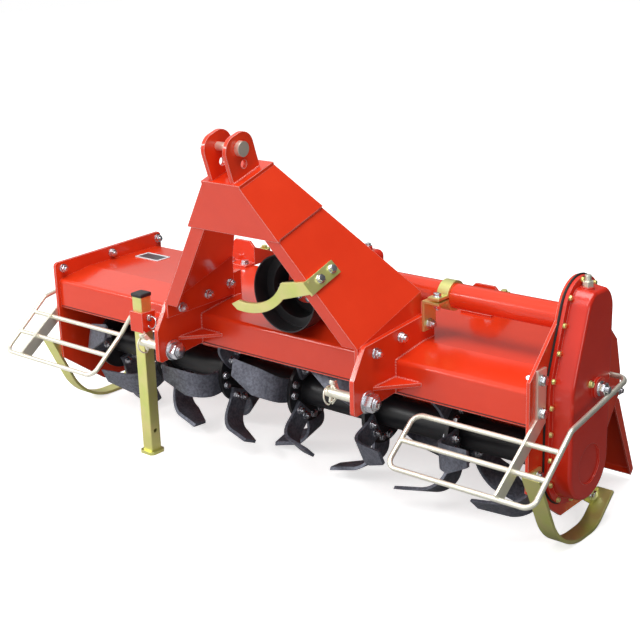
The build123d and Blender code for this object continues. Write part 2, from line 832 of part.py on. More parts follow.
# Foot on the deck that overhangs its rear edge, with the rod's slot, an upstand and two ribs
def make_rod_bracket(x):
    rear = deck_depth + bracket_overhang
    top = deck_top + bracket_height
    left, right = x - bracket_half, x + bracket_half
    shelf_top = deck_top + bracket_t
    foot = box((left, right), (deck_depth - bracket_foot, rear), (deck_top, shelf_top))
    slot = Pos(x, rod_guide[0], deck_top) * Box(bracket_slot_w, bracket_slot, 4 * bracket_t)
    face = polygon((left, shelf_top), (left, top - bracket_cut), (left + bracket_cut, top),
                   (right - bracket_cut, top), (right, top - bracket_cut), (right, shelf_top))
    upstand = extrude(Plane.XZ.offset(-deck_depth) * face, bracket_t)
    rib = polygon((deck_depth, shelf_top), (rear, shelf_top), (deck_depth, top - bracket_cut))
    ribs = across(rib, left, bracket_t) + across(rib, right - bracket_t, bracket_t)
    return foot - slot + upstand + ribs


def make_nodes():
    plate_left = hitch_x - hitch_half - hitch_t
    plate_right = hitch_x + hitch_half
    leg = make_mast_leg_right()
    skid = make_skid_right()
    return {
        "deck": make_deck(),
        "side_plate_left": make_side_plate_left(),
        "side_plate_right": make_side_plate_right(),
        "case_gasket": make_case_gasket(),
        "gear_case": make_gear_case(),
        "case_plug": make_case_plug(),
        "drive_tube": make_drive_tube(),
        "tube_clamp": make_tube_clamp(),
        "gearbox": make_gearbox(),
        "gearbox_cover": make_gearbox_cover(),
        "bearing_cap": make_bearing_cap(),
        "pto_shield": make_pto_shield(),
        "pto_shaft": make_pto_shaft(),
        "hitch_plate_left": make_hitch_plate(plate_left),
        "hitch_plate_right": make_hitch_plate(plate_right),
        "lower_pin_left": make_lower_pin(plate_left),
        "lower_pin_right": make_lower_pin(plate_right),
        "mast_leg_left": mirror_middle(leg, hitch_x),
        "mast_leg_right": leg,
        "mast_cap": make_mast_cap(),
        "ear_left": make_ear(hitch_x - ear_gap / 2 - ear_t),
        "ear_right": make_ear(hitch_x + ear_gap / 2),
        "top_pin": make_top_pin(),
        "pto_hook": make_pto_hook(),
        "stand_sleeve": make_stand_sleeve(),
        "stand_leg": make_stand_leg(),
        "stand_foot": make_stand_foot(),
        "stand_cap": make_stand_cap(),
        "guard_left": mirror_middle(make_guard(True), 0),
        "guard_right": make_guard(False),
        "skid_left": mirror_middle(skid, 0),
        "skid_right": skid,
        "rotor_bearing": make_rotor_bearing(),
        "rotor_shaft": make_rotor_shaft(),
        "tines_left_hand": make_tines(-1),
        "tines_right_hand": make_tines(1),
        "tailgate": make_tailgate(),
        "hinge_rod": make_hinge_rod(),
        "tailgate_rod_left": make_rod(-rod_x),
        "tailgate_rod_right": make_rod(rod_x),
        "rod_bracket_left": make_rod_bracket(-rod_x),
        "rod_bracket_right": make_rod_bracket(rod_x),
    }


# Centre the whole machine over the origin, standing on Z = 0, and write each piece
nodes = make_nodes()
solids = {}
for name, shape in nodes.items():
    solids[name] = Compound(children=shape) if isinstance(shape, list) else shape
whole = Compound(children=[Compound(shape.solids()) for shape in solids.values()]).bounding_box()
shift = Vector(-whole.center().X, -whole.center().Y, 0)
os.makedirs("parts", exist_ok=True)
for name, shape in solids.items():
    export_step(Pos(shift) * Compound(shape.solids()), f"parts/{name}.step")
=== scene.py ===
# Looks of a red three-point rotary tiller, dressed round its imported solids. Metres, Z up.
import math

import bmesh
import bpy
from mathutils import Matrix, Vector


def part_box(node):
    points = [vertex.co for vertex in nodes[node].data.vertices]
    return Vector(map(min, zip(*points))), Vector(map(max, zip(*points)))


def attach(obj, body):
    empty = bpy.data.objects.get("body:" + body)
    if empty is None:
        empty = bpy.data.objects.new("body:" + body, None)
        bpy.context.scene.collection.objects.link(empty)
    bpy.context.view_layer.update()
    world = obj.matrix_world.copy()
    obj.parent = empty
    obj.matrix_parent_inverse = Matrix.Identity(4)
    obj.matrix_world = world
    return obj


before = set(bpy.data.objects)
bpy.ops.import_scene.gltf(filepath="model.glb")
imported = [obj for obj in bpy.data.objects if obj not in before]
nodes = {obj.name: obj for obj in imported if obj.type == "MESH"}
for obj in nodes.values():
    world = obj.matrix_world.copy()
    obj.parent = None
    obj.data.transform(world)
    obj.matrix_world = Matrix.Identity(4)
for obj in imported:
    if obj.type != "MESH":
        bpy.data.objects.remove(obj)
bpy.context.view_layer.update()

MM = 0.001
ALONG_X = Vector((1, 0, 0))
ALONG_Y = Vector((0, 1, 0))
UP = Vector((0, 0, 1))
deck_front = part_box("deck")[0].y

# Places of the main solids in millimetres. A hitch plate has its left and its right face.
SIDE_FACE = 758
ROTOR_Y, ROTOR_Z = 150, 190
DRIVE_Y, DRIVE_Z = 170, 503
GEARBOX_X, GEARBOX_Y, COVER_TOP = 100, 172, 564
HITCH_LEFT = (-209, -197)
HITCH_RIGHT = (397, 409)
PIN_Y, PIN_Z = -104, 322
MAST_SHEET = 8
STAND_X, STAND_Y = -342, -66
ROD_X = 400


# A place in millimetres from the deck's middle, its front edge and the ground
def at(x, y, z):
    return Vector((x * MM, deck_front + y * MM, z * MM))


# Node trees

# Colour sockets of a mix node
MIX_FIRST, MIX_SECOND, MIX_RESULT = 6, 7, 2


# A node with its settings and socket values; a value that is an output gets linked
def add(tree, kind, settings=None, **values):
    node = tree.nodes.new(kind)
    for key, value in (settings or {}).items():
        setattr(node, key, value)
    for label, value in values.items():
        socket = node.inputs[label.replace("_", " ")]
        if isinstance(value, bpy.types.NodeSocket):
            tree.links.new(value, socket)
        else:
            socket.default_value = value
    return node


# A shader group with float inputs, and outputs of the given socket types
def new_group(name, inputs, outputs):
    group = bpy.data.node_groups.new(name, "ShaderNodeTree")
    for label, value in inputs.items():
        socket = group.interface.new_socket(label, in_out="INPUT", socket_type="NodeSocketFloat")
        socket.default_value = value
    for label, kind in outputs.items():
        group.interface.new_socket(label, in_out="OUTPUT", socket_type=kind)
    entry = group.nodes.new("NodeGroupInput")
    leave = group.nodes.new("NodeGroupOutput")
    return group, entry.outputs, leave.inputs


def object_place(tree):
    return add(tree, "ShaderNodeTexCoord").outputs["Object"]


# Cloudy change over the surface, from 0 to 1, stretched about its middle
def make_mottle():
    inputs = {"Scale": 10.0, "Contrast": 1.0}
    group, entry, leave = new_group("mottle", inputs, {"Mask": "NodeSocketFloat"})
    middle = 0.5
    noise = add(group, "ShaderNodeTexNoise", Vector=object_place(group), Scale=entry["Scale"],
                Detail=5.0, Roughness=0.6)
    centred = add(group, "ShaderNodeMath", {"operation": "SUBTRACT"})
    group.links.new(noise.outputs["Fac"], centred.inputs[0])
    centred.inputs[1].default_value = middle
    spread = add(group, "ShaderNodeMath", {"operation": "MULTIPLY_ADD", "use_clamp": True})
    group.links.new(centred.outputs[0], spread.inputs[0])
    group.links.new(entry["Contrast"], spread.inputs[1])
    spread.inputs[2].default_value = middle
    group.links.new(spread.outputs[0], leave["Mask"])
    return group


# Rounded edges: a normal that turns over each sharp edge, and a mask of where it turns, which the paints
# use for a painted highlight
def make_soft_edge():
    outputs = {"Normal": "NodeSocketVector", "Edge": "NodeSocketFloat"}
    group, entry, leave = new_group("soft_edge", {"Radius": 0.002}, outputs)
    bevel = add(group, "ShaderNodeBevel", {"samples": 6}, Radius=entry["Radius"])
    geometry = add(group, "ShaderNodeNewGeometry")
    turn = add(group, "ShaderNodeVectorMath", {"operation": "DOT_PRODUCT"})
    group.links.new(bevel.outputs["Normal"], turn.inputs[0])
    group.links.new(geometry.outputs["Normal"], turn.inputs[1])
    edge = add(group, "ShaderNodeMapRange", {"clamp": True}, From_Min=0.995, From_Max=0.8,
               To_Min=0.0, To_Max=1.0)
    group.links.new(turn.outputs["Value"], edge.inputs["Value"])
    group.links.new(bevel.outputs["Normal"], leave["Normal"])
    group.links.new(edge.outputs["Result"], leave["Edge"])
    return group


mottle = make_mottle()
soft_edge = make_soft_edge()


def use(tree, group, **values):
    node = tree.nodes.new("ShaderNodeGroup")
    node.node_tree = group
    for label, value in values.items():
        node.inputs[label].default_value = value
    return node.outputs


def new_material(name):
    material = bpy.data.materials.new(name)
    material.use_nodes = True
    return material, material.node_tree, material.node_tree.nodes["Principled BSDF"]


# Colour between two tones by a mask
def blend(tree, mask, first, second):
    mix = add(tree, "ShaderNodeMix", {"data_type": "RGBA"})
    tree.links.new(mask, mix.inputs["Factor"])
    for index, tone in ((MIX_FIRST, first), (MIX_SECOND, second)):
        if isinstance(tone, bpy.types.NodeSocket):
            tree.links.new(tone, mix.inputs[index])
        else:
            mix.inputs[index].default_value = (*tone, 1.0)
    return mix.outputs[MIX_RESULT]


# Roughness between two values by a mask
def between(tree, mask, low, high):
    node = add(tree, "ShaderNodeMapRange", Value=mask, To_Min=low, To_Max=high)
    return node.outputs["Result"]


# Fine bump laid over the rounded edges
def bump(tree, height, strength, distance, normal):
    node = add(tree, "ShaderNodeBump", Strength=strength, Distance=distance, Height=height,
               Normal=normal)
    return node.outputs["Normal"]


# Gloss paint, with a faint orange peel, and a painted highlight along its edges: a paler colour where
# the rounded edges turn
def make_paint(name, deep, bright, edge_highlight, peel_scale, peel):
    material, tree, shader = new_material(name)
    tone = use(tree, mottle, Scale=6.0, Contrast=2.0)["Mask"]
    grain = use(tree, mottle, Scale=peel_scale, Contrast=1.5)["Mask"]
    edges = use(tree, soft_edge, Radius=0.0022)
    # Painted highlight: the edge mask blends the pale edge colour over the paint
    colour = blend(tree, edges["Edge"], blend(tree, tone, deep, bright), edge_highlight)
    rough = between(tree, tone, low=0.15, high=0.26)
    normal = bump(tree, grain, strength=peel, distance=0.001, normal=edges["Normal"])
    tree.links.new(colour, shader.inputs["Base Color"])
    tree.links.new(rough, shader.inputs["Roughness"])
    tree.links.new(normal, shader.inputs["Normal"])
    shader.inputs["Coat Weight"].default_value = 0.25
    shader.inputs["Coat Roughness"].default_value = 0.08
    return material


# Zinc plate: a main tone that drifts to a second, with a weak blush of a third, over a drawn grain
def make_zinc(name, main, second, blush_tone, rough):
    material, tree, shader = new_material(name)
    drift = use(tree, mottle, Scale=9.0, Contrast=2.6)["Mask"]
    blush = use(tree, mottle, Scale=23.0, Contrast=3.2)["Mask"]
    grain = use(tree, mottle, Scale=420.0, Contrast=1.4)["Mask"]
    edges = use(tree, soft_edge, Radius=0.0016)
    blush_strength = 0.45
    weak = add(tree, "ShaderNodeMath", {"operation": "MULTIPLY"})
    tree.links.new(blush, weak.inputs[0])
    weak.inputs[1].default_value = blush_strength
    colour = blend(tree, weak.outputs[0], blend(tree, drift, main, second), blush_tone)
    normal = bump(tree, grain, strength=0.12, distance=0.0006, normal=edges["Normal"])
    tree.links.new(colour, shader.inputs["Base Color"])
    tree.links.new(between(tree, drift, low=rough, high=rough + 0.14), shader.inputs["Roughness"])
    tree.links.new(normal, shader.inputs["Normal"])
    shader.inputs["Metallic"].default_value = 0.8
    return material


# A plain finish in two near tones, with grain: black paint, plastic, rubber or bare metal
def make_plain(name, first, second, rough, metallic, grain_scale, grain_depth):
    material, tree, shader = new_material(name)
    tone = use(tree, mottle, Scale=14.0, Contrast=2.4)["Mask"]
    grain = use(tree, mottle, Scale=grain_scale, Contrast=1.6)["Mask"]
    edges = use(tree, soft_edge, Radius=0.0016)
    normal = bump(tree, grain, strength=grain_depth, distance=0.0008, normal=edges["Normal"])
    tree.links.new(blend(tree, tone, first, second), shader.inputs["Base Color"])
    tree.links.new(between(tree, tone, low=rough, high=rough + 0.12), shader.inputs["Roughness"])
    tree.links.new(normal, shader.inputs["Normal"])
    shader.inputs["Metallic"].default_value = metallic
    return material


# Forged steel: a patchy dark skin with paler specks
def make_forged(name, dark, grey, pale):
    material, tree, shader = new_material(name)
    skin = use(tree, mottle, Scale=26.0, Contrast=2.4)["Mask"]
    specks = use(tree, mottle, Scale=150.0, Contrast=4.5)["Mask"]
    grain = use(tree, mottle, Scale=700.0, Contrast=1.6)["Mask"]
    edges = use(tree, soft_edge, Radius=0.0016)
    colour = blend(tree, specks, blend(tree, skin, dark, grey), blend(tree, skin, grey, pale))
    normal = bump(tree, grain, strength=0.35, distance=0.0008, normal=edges["Normal"])
    tree.links.new(colour, shader.inputs["Base Color"])
    tree.links.new(between(tree, skin, low=0.34, high=0.5), shader.inputs["Roughness"])
    tree.links.new(normal, shader.inputs["Normal"])
    shader.inputs["Metallic"].default_value = 0.45
    return material


# Finishes

# The paints' edge colours are painted highlights, paler where the edges turn
red_sheet = make_paint("red_sheet", deep=(0.70, 0.036, 0.008), bright=(0.78, 0.046, 0.010),
                       edge_highlight=(0.95, 0.52, 0.47), peel_scale=260.0, peel=0.05)
red_cast = make_paint("red_cast", deep=(0.60, 0.020, 0.008), bright=(0.70, 0.028, 0.010),
                      edge_highlight=(0.80, 0.16, 0.12), peel_scale=150.0, peel=0.12)
yellow_zinc = make_zinc("yellow_zinc", main=(0.86, 0.81, 0.30), second=(0.66, 0.75, 0.22),
                        blush_tone=(0.84, 0.72, 0.40), rough=0.3)
pale_zinc = make_zinc("pale_zinc", main=(0.93, 0.91, 0.78), second=(0.90, 0.91, 0.76),
                      blush_tone=(0.94, 0.90, 0.82), rough=0.28)
silver_zinc = make_plain("silver_zinc", (0.62, 0.64, 0.70), (0.78, 0.79, 0.83),
                         rough=0.2, metallic=1.0, grain_scale=600.0, grain_depth=0.08)
black_paint = make_plain("black_paint", (0.010, 0.010, 0.012), (0.017, 0.018, 0.021),
                         rough=0.34, metallic=0.0, grain_scale=320.0, grain_depth=0.14)
tine_steel = make_forged("tine_steel", dark=(0.075, 0.08, 0.105), grey=(0.15, 0.16, 0.20),
                         pale=(0.23, 0.245, 0.30))
black_plastic = make_plain("black_plastic", (0.010, 0.010, 0.012), (0.018, 0.018, 0.021),
                           rough=0.36, metallic=0.0, grain_scale=500.0, grain_depth=0.12)
gasket_rubber = make_plain("gasket_rubber", (0.008, 0.008, 0.008), (0.014, 0.013, 0.013),
                           rough=0.6, metallic=0.0, grain_scale=700.0, grain_depth=0.2)
bare_steel = make_plain("bare_steel", (0.42, 0.42, 0.43), (0.55, 0.55, 0.56),
                        rough=0.28, metallic=1.0, grain_scale=500.0, grain_depth=0.1)
plate_rim = make_plain("plate_rim", (0.74, 0.75, 0.78), (0.84, 0.85, 0.87),
                       rough=0.34, metallic=0.0, grain_scale=500.0, grain_depth=0.06)
plate_face = make_plain("plate_face", (0.03, 0.032, 0.038), (0.12, 0.13, 0.15),
                        rough=0.3, metallic=0.4, grain_scale=600.0, grain_depth=0.06)

finishes = {
    red_sheet: ("deck", "side_plate_left", "side_plate_right", "drive_tube", "hitch_plate_left",
                "hitch_plate_right", "mast_leg_left", "mast_leg_right", "mast_cap", "ear_left",
                "ear_right", "stand_sleeve", "tailgate", "rod_bracket_left", "rod_bracket_right"),
    red_cast: ("gear_case", "gearbox", "gearbox_cover", "bearing_cap", "rotor_bearing"),
    yellow_zinc: ("tube_clamp", "pto_hook", "stand_leg", "stand_foot", "skid_left", "skid_right",
                  "hinge_rod", "tailgate_rod_left", "tailgate_rod_right"),
    pale_zinc: ("lower_pin_left", "lower_pin_right", "guard_left", "guard_right", "case_plug",
                "top_pin"),
    black_paint: ("rotor_shaft",),
    tine_steel: ("tines_left_hand", "tines_right_hand"),
    black_plastic: ("pto_shield", "stand_cap"),
    gasket_rubber: ("case_gasket",),
    bare_steel: ("pto_shaft",),
}
for finish, names in finishes.items():
    for name in names:
        mesh = nodes[name].data
        mesh.materials.clear()
        mesh.materials.append(finish)


# Small pieces

SHARP_ANGLE = math.radians(38)


def as_mesh(name, bm):
    mesh = bpy.data.meshes.new(name)
    bm.to_mesh(mesh)
    bm.free()
    return mesh


def finish_piece(name, bm, material, body):
    bmesh.ops.recalc_face_normals(bm, faces=bm.faces)
    mesh = as_mesh(name, bm)
    mesh.shade_smooth()
    mesh.set_sharp_from_angle(angle=SHARP_ANGLE)
    mesh.materials.append(material)
    piece = bpy.data.objects.new(name, mesh)
    bpy.context.scene.collection.objects.link(piece)
    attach(piece, body)
    return piece


# Turns +Z to an axis and stands a shape on a place
def facing(place, axis, turn=0.0):
    tilt = UP.rotation_difference(axis).to_matrix().to_4x4()
    return Matrix.Translation(place) @ tilt @ Matrix.Rotation(turn, 4, "Z")


# One copy of a shape at each place, in one bmesh
def repeat(shape, places):
    bm = bmesh.new()
    for place in places:
        start = len(bm.verts)
        bm.from_mesh(shape)
        bm.verts.ensure_lookup_table()
        bmesh.ops.transform(bm, matrix=place, verts=bm.verts[start:])
    return bm


def move_to(bm, place):
    bmesh.ops.transform(bm, matrix=Matrix.Translation(place), verts=bm.verts)


def round_off(bm, edges, offset, segments):
    bmesh.ops.bevel(bm, geom=edges, offset=offset, affect="EDGES", segments=segments, profile=0.5,
                    material=-1)


# A box about the origin
def new_box(width, depth, height):
    bm = bmesh.new()
    bmesh.ops.create_cube(bm, size=1, matrix=Matrix.Diagonal((width, depth, height, 1)))
    return bm


# A box with its upright edges rounded, and its top face
def new_plate(width, depth, height, corner):
    bm = new_box(width, depth, height)
    upright = [edge for edge in bm.edges if abs(edge.verts[0].co.z - edge.verts[1].co.z) > MM]
    round_off(bm, upright, corner, segments=4)
    return bm, max(bm.faces, key=lambda face: face.calc_center_median().z)


# A round or six-sided block from one height to another, its top edge chamfered
def add_block(bm, radius, low, high, sides, chamfer=0.0):
    middle = Matrix.Translation((0, 0, (low + high) / 2))
    made = bmesh.ops.create_cone(bm, cap_ends=True, segments=sides, radius1=radius, radius2=radius,
                                 depth=high - low, matrix=middle)
    if chamfer:
        near_top = high - chamfer / 10
        edges = {edge for vert in made["verts"] for edge in vert.link_edges}
        top = [edge for edge in edges if min(v.co.z for v in edge.verts) > near_top]
        round_off(bm, top, chamfer, segments=2)


# Thread: rings that widen and narrow
def add_thread(bm, radius, low, high, pitch):
    root = 0.88
    turns = max(1, round((high - low) / pitch))
    step = (high - low) / turns
    for k in range(turns):
        for half, (first, second) in enumerate(((root, 1.0), (1.0, root))):
            middle = Matrix.Translation((0, 0, low + (k + 0.25 + half / 2) * step))
            bmesh.ops.create_cone(bm, cap_ends=True, segments=16, radius1=radius * first,
                                  radius2=radius * second, depth=step / 2, matrix=middle)


# A hexagon on a washer; a nut also shows the end of its thread
def hex_fastener(name, thread_r, nut):
    bm = bmesh.new()
    washer_top = thread_r * 0.4
    hex_top = washer_top + thread_r * (1.6 if nut else 1.3)
    add_block(bm, thread_r * 2.1, 0, washer_top, sides=24, chamfer=thread_r * 0.1)
    add_block(bm, thread_r * 1.85, washer_top, hex_top, sides=6, chamfer=thread_r * 0.22)
    if nut:
        add_thread(bm, thread_r, hex_top, hex_top + thread_r * 0.9, pitch=thread_r * 0.3)
    return as_mesh(name, bm)


m6_head = hex_fastener("m6_head", 3 * MM, nut=False)
m8_head = hex_fastener("m8_head", 4 * MM, nut=False)
m10_head = hex_fastener("m10_head", 5 * MM, nut=False)
m12_head = hex_fastener("m12_head", 6 * MM, nut=False)
m10_nut = hex_fastener("m10_nut", 5 * MM, nut=True)
m12_nut = hex_fastener("m12_nut", 6 * MM, nut=True)
m16_nut = hex_fastener("m16_nut", 8 * MM, nut=True)


# Fasteners of the frame at places in millimetres, each turned a little from the last
def fasten(name, shape, spots, axis, finish=silver_zinc):
    turn_step = 0.7
    places = [facing(at(*spot), axis, turn_step * k) for k, spot in enumerate(spots)]
    finish_piece(name, repeat(shape, places), finish, "frame")


# The same fasteners at both ends of the machine, facing outwards
def fasten_ends(name, shape, x, spots):
    fasten(f"{name}_right", shape, [(x, y, z) for y, z in spots], ALONG_X)
    fasten(f"{name}_left", shape, [(-x, y, z) for y, z in spots], -ALONG_X)


# Places on a circle, as two offsets from its middle
def round_about(radius, count, first=0.0):
    turns = [first + math.tau * k / count for k in range(count)]
    return [(radius * math.cos(turn), radius * math.sin(turn)) for turn in turns]


# A closed ring of wire about Z, then set in its place. It takes the points at the end of the list for
# its own, which is right only where no bevel came before it in the same bmesh.
def add_ring(bm, radius, wire, place):
    start = len(bm.verts)
    stand = Matrix.Translation((radius, 0, 0)) @ Matrix.Rotation(math.pi / 2, 4, "X")
    made = bmesh.ops.create_circle(bm, cap_ends=False, segments=10, radius=wire, matrix=stand)
    edges = list({edge for vert in made["verts"] for edge in vert.link_edges})
    bmesh.ops.spin(bm, geom=made["verts"] + edges, cent=(0, 0, 0), axis=(0, 0, 1), angle=math.tau,
                   steps=30, use_merge=True, use_duplicate=False)
    bm.verts.ensure_lookup_table()
    bmesh.ops.transform(bm, matrix=place, verts=bm.verts[start:])


# Nuts inside the left side plate, along its sloping rim
def make_rim_nuts():
    plate_low, plate_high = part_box("side_plate_left")
    front = plate_low.y + 27 * MM
    back = plate_high.y - 13 * MM
    rim_drop = 19 * MM
    rim_slope = 10 * MM
    places = []
    for share in (0.0, 0.5, 1.0):
        y = front + (back - front) * share
        z = plate_high.z - rim_drop - (1 - share) * rim_slope
        places.append(facing(Vector((plate_high.x, y, z)), ALONG_X, share))
    finish_piece("rim_nuts", repeat(m12_nut, places), silver_zinc, "frame")


# Bolts that hold the mast's feet to the hitch plates, and the clamp's strap and lugs
def make_hitch_bolts():
    strap = 6
    clamp_x, clamp_y = 440, 117
    lug_top, lug_bottom = 511.5, 494.5
    spots = [(-72, 425), (20, 436), (100, 444)]
    nuts_right = [(HITCH_RIGHT[1], y, z) for y, z in spots[:2]]
    nuts_right.append((HITCH_RIGHT[1] + strap, 121, 443))
    heads_right = [(HITCH_RIGHT[0] - MAST_SHEET, y, z) for y, z in spots]
    nuts_left = [(HITCH_LEFT[1] + MAST_SHEET, y, z) for y, z in spots]
    heads_left = [(HITCH_LEFT[0], y, z) for y, z in spots]
    fasten("hitch_nuts_right", m12_nut, nuts_right, ALONG_X)
    fasten("hitch_heads_right", m12_head, heads_right, -ALONG_X)
    fasten("hitch_nuts_left", m12_nut, nuts_left, ALONG_X)
    fasten("hitch_heads_left", m12_head, heads_left, -ALONG_X)
    fasten("clamp_head", m10_head, [(clamp_x, clamp_y, lug_top)], UP)
    fasten("clamp_nut", m10_nut, [(clamp_x, clamp_y, lug_bottom)], -UP)


# Large flanged nuts over the hexagons of the lower hitch pins
def make_pin_nuts():
    bm = bmesh.new()
    add_block(bm, radius=26 * MM, low=0, high=4 * MM, sides=40, chamfer=1.2 * MM)
    add_block(bm, radius=21.4 * MM, low=4 * MM, high=24 * MM, sides=6, chamfer=2.5 * MM)
    add_block(bm, radius=14 * MM, low=24 * MM, high=26 * MM, sides=32, chamfer=0.8 * MM)
    add_thread(bm, radius=11 * MM, low=26 * MM, high=31 * MM, pitch=1.7 * MM)
    shape = as_mesh("pin_nut", bm)
    places = [facing(at(x, PIN_Y, PIN_Z), ALONG_X) for x in (HITCH_LEFT[1], HITCH_RIGHT[1])]
    finish_piece("pin_nuts", repeat(shape, places), silver_zinc, "frame")


# Lynch pins: a stem through the hitch pin, its head, and a wire ring round the pin's end
def make_lynch_pins():
    bm = bmesh.new()
    add_block(bm, radius=4.5 * MM, low=-22 * MM, high=24 * MM, sides=20, chamfer=1.2 * MM)
    add_block(bm, radius=9 * MM, low=20 * MM, high=28 * MM, sides=24, chamfer=2.5 * MM)
    across = Matrix.Translation((-5 * MM, 0, -8 * MM)) @ Matrix.Rotation(math.radians(78), 4, "Y")
    add_ring(bm, radius=21 * MM, wire=1.9 * MM, place=across)
    shape = as_mesh("lynch_pin", bm)
    spots = [
        ((-297, PIN_Y, PIN_Z), 18),
        ((309, PIN_Y, PIN_Z), -14),
        ((51, -181.4, 863.9), 84),
    ]
    places = []
    for spot, lean in spots:
        places.append(Matrix.Translation(at(*spot)) @ Matrix.Rotation(math.radians(lean), 4, "X"))
    finish_piece("lynch_pins", repeat(shape, places), pale_zinc, "frame")


# Slope of the mast's right web in millimetres: the directions along it, up it and out of it
mast_rise = math.radians(17.5)
mast_top = Vector((150, -202, 783))
web_foot = Vector((397, -120, 443))
web_along = Vector((0, math.cos(mast_rise), math.sin(mast_rise)))
web_edge = mast_top - web_foot
web_up = (web_edge - web_along * web_edge.dot(web_along)).normalized()
web_out = web_along.cross(web_up)


def on_web(along, up, out):
    return web_foot + web_along * along + web_up * up + web_out * out


def make_hook_bolts():
    hook_height, hook_sheet = 168, 6
    spots = [on_web(along, hook_height, hook_sheet) for along in (38, 80)]
    fasten("hook_bolts", m10_head, spots, web_out)


# Bolts of the gearbox: cover, bearing cap, base and the hub inside the shield
def make_gearbox_bolts():
    cap_face, base_top, hub_face = -4, 418, 58
    reach = (-58, 0, 58)
    corners = [(x, y) for x in reach for y in reach if x or y]
    cover = [(GEARBOX_X + x, GEARBOX_Y + y, COVER_TOP) for x, y in corners]
    cap = [(cap_face, DRIVE_Y + y, DRIVE_Z + z) for y, z in round_about(radius=36, count=6)]
    base = [(3, y, base_top) for y in (132, 190, 248)]
    base += [(x, 271, base_top) for x in (40, 100, 160)]
    circle = round_about(radius=40, count=8, first=0.3)
    hub = [(GEARBOX_X + x, hub_face, DRIVE_Z + z) for x, z in circle]
    fasten("cover_bolts", m8_head, cover, UP)
    fasten("cap_bolts", m8_head, cap, -ALONG_X)
    fasten("base_bolts", m8_head, base, UP)
    fasten("hub_bolts", m8_head, hub, -ALONG_Y)


# Breather on the gearbox's cover
def make_breather():
    bm = bmesh.new()
    add_block(bm, radius=13 * MM, low=0, high=9 * MM, sides=6, chamfer=2 * MM)
    add_block(bm, radius=8 * MM, low=9 * MM, high=13 * MM, sides=24)
    add_block(bm, radius=11 * MM, low=13 * MM, high=21 * MM, sides=28, chamfer=3 * MM)
    shape = as_mesh("breather", bm)
    place = facing(at(GEARBOX_X, GEARBOX_Y, COVER_TOP), UP)
    finish_piece("breather", repeat(shape, [place]), silver_zinc, "frame")


# Places evenly along the gear case's rim, inside its edge. An arc has its middle, radius, start and end.
def rim_places(count, inset):
    arcs = [
        (ROTOR_Y, ROTOR_Z, 100, 180, 360),
        (178, 524, 74, 0, 161),
        (ROTOR_Y, 365, 100, 161, 180),
    ]
    parts = 40
    line = []
    for y, z, radius, start, end in arcs:
        for k in range(parts + 1):
            turn = math.radians(start + (end - start) * k / parts)
            out = Vector((math.cos(turn), math.sin(turn)))
            line.append(Vector((y, z)) + out * (radius - inset))
    line.append(line[0])
    steps = [(b - a).length for a, b in zip(line, line[1:])]
    spots = []
    for k in range(count):
        left = sum(steps) * (k + 0.5) / count
        for start, end, step in zip(line, line[1:], steps):
            if left <= step:
                spots.append(start.lerp(end, left / step))
                break
            left -= step
    return spots


# Bolts of the gear case's flange, its idler's nut and lock, and a nut at the lip's end
def make_case_bolts():
    flange_face = 770
    rim = [(flange_face, *spot) for spot in rim_places(count=20, inset=6.5)]
    fasten("case_bolts", m6_head, rim, ALONG_X, finish=yellow_zinc)
    fasten("idler_nut", m16_nut, [(821, 172, 359)], ALONG_X)
    fasten("idler_lock", m8_head, [(814, 141, 376)], ALONG_X, finish=yellow_zinc)
    fasten("lip_end_nut", m10_nut, [(750, 14, 412)], -ALONG_X)


# Gasket squeezed out into a bead all round the gear case
def make_gasket_bead():
    gasket_x = 759
    spots = rim_places(count=96, inset=-0.5)
    frames = []
    for k, (y, z) in enumerate(spots):
        step = spots[(k + 1) % len(spots)] - spots[k - 1]
        along = Vector((0, *step)).normalized()
        turn = Matrix((ALONG_X, along.cross(ALONG_X), along)).transposed().to_4x4()
        frames.append(Matrix.Translation(at(gasket_x, y, z)) @ turn)
    bm = bmesh.new()
    bmesh.ops.create_circle(bm, segments=10, radius=3 * MM, matrix=frames[0])
    ring = list(bm.edges)
    for start, end in zip(frames, frames[1:] + frames[:1]):
        grown = bmesh.ops.extrude_edge_only(bm, edges=ring)["geom"]
        points = [part for part in grown if isinstance(part, bmesh.types.BMVert)]
        ring = [edge for edge in bm.edges if edge.verts[0] in points and edge.verts[1] in points]
        bmesh.ops.transform(bm, matrix=end @ start.inverted(), verts=points)
    bmesh.ops.remove_doubles(bm, verts=bm.verts, dist=0.05 * MM)
    finish_piece("gasket_bead", bm, gasket_rubber, "frame")


# Bolts at both ends: guards, skids, hinge rod, the left rotor bearing and the left plate's rim
def make_end_bolts():
    tab_face = SIDE_FACE + 6
    pad_face = -SIDE_FACE - 10
    reach = (-57, 57)
    bearing = [(pad_face, ROTOR_Y + y, ROTOR_Z + z) for y in reach for z in reach]
    rim = [(-SIDE_FACE, 196, 422), (-SIDE_FACE, 374, 427)]
    fasten_ends("guard_bolts", m12_head, tab_face, [(29, 408), (29, 335)])
    fasten_ends("skid_bolts", m12_head, tab_face, [(20, 195), (-6, 194), (246, 82), (262, 60)])
    fasten_ends("hinge_nuts", m12_nut, SIDE_FACE, [(372, 280)])
    fasten("bearing_bolts", m12_head, bearing, -ALONG_X)
    fasten("plate_heads", m12_head, rim, -ALONG_X)


